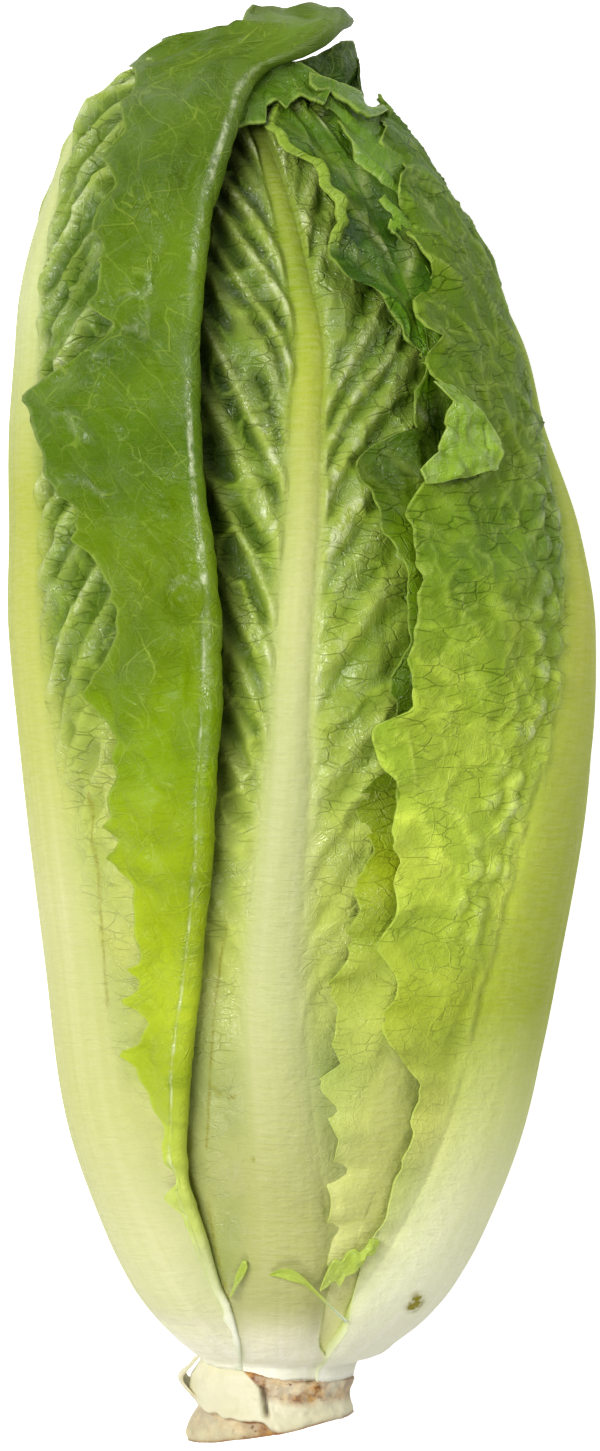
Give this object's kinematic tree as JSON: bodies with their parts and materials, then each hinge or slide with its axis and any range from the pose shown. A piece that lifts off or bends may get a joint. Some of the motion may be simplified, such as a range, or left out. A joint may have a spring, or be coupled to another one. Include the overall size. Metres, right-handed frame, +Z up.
{
  "type": "romaine lettuce head",
  "caption": "Head of romaine lettuce lying on its back leaf, with long ribbed leaves wrapped round a short core and a trimmed, browned butt.",
  "frame": {"origin": "under the middle of the head, on the surface that it lies on", "axes": "+Y from the cut butt to the leaf tips, +Z up through the front leaf, +X towards the right outer leaf"},
  "size_m": [0.1223, 0.3, 0.1001],
  "materials": {
    "stem_flesh": "moist cream-white cut stem with tan and brown scars",
    "outer_leaf": "satin green leaf with a pale yellow-green rib",
    "inner_leaf": "satin pale yellow-green leaf"
  },
  "bodies": {
    "root": {"stem": "stem_flesh", "heart_bud": "inner_leaf", "leaf_stub": "stem_flesh", "side_shoot": "outer_leaf", "back_outer_leaf": "outer_leaf", "left_outer_leaf": "outer_leaf", "right_outer_leaf": "outer_leaf", "right_front_leaf": "outer_leaf", "back_left_leaf": "outer_leaf", "front_leaf": "outer_leaf", "back_right_leaf": "outer_leaf", "middle_leaf_1": "inner_leaf", "middle_leaf_2": "inner_leaf", "middle_leaf_3": "inner_leaf", "middle_leaf_4": "inner_leaf", "middle_leaf_5": "inner_leaf", "middle_leaf_6": "inner_leaf", "middle_leaf_7": "inner_leaf", "middle_leaf_8": "inner_leaf", "heart_leaf_1": "inner_leaf", "heart_leaf_2": "inner_leaf", "heart_leaf_3": "inner_leaf", "heart_leaf_4": "inner_leaf", "heart_leaf_5": "inner_leaf", "heart_leaf_6": "inner_leaf"}
  },
  "joints": []
}
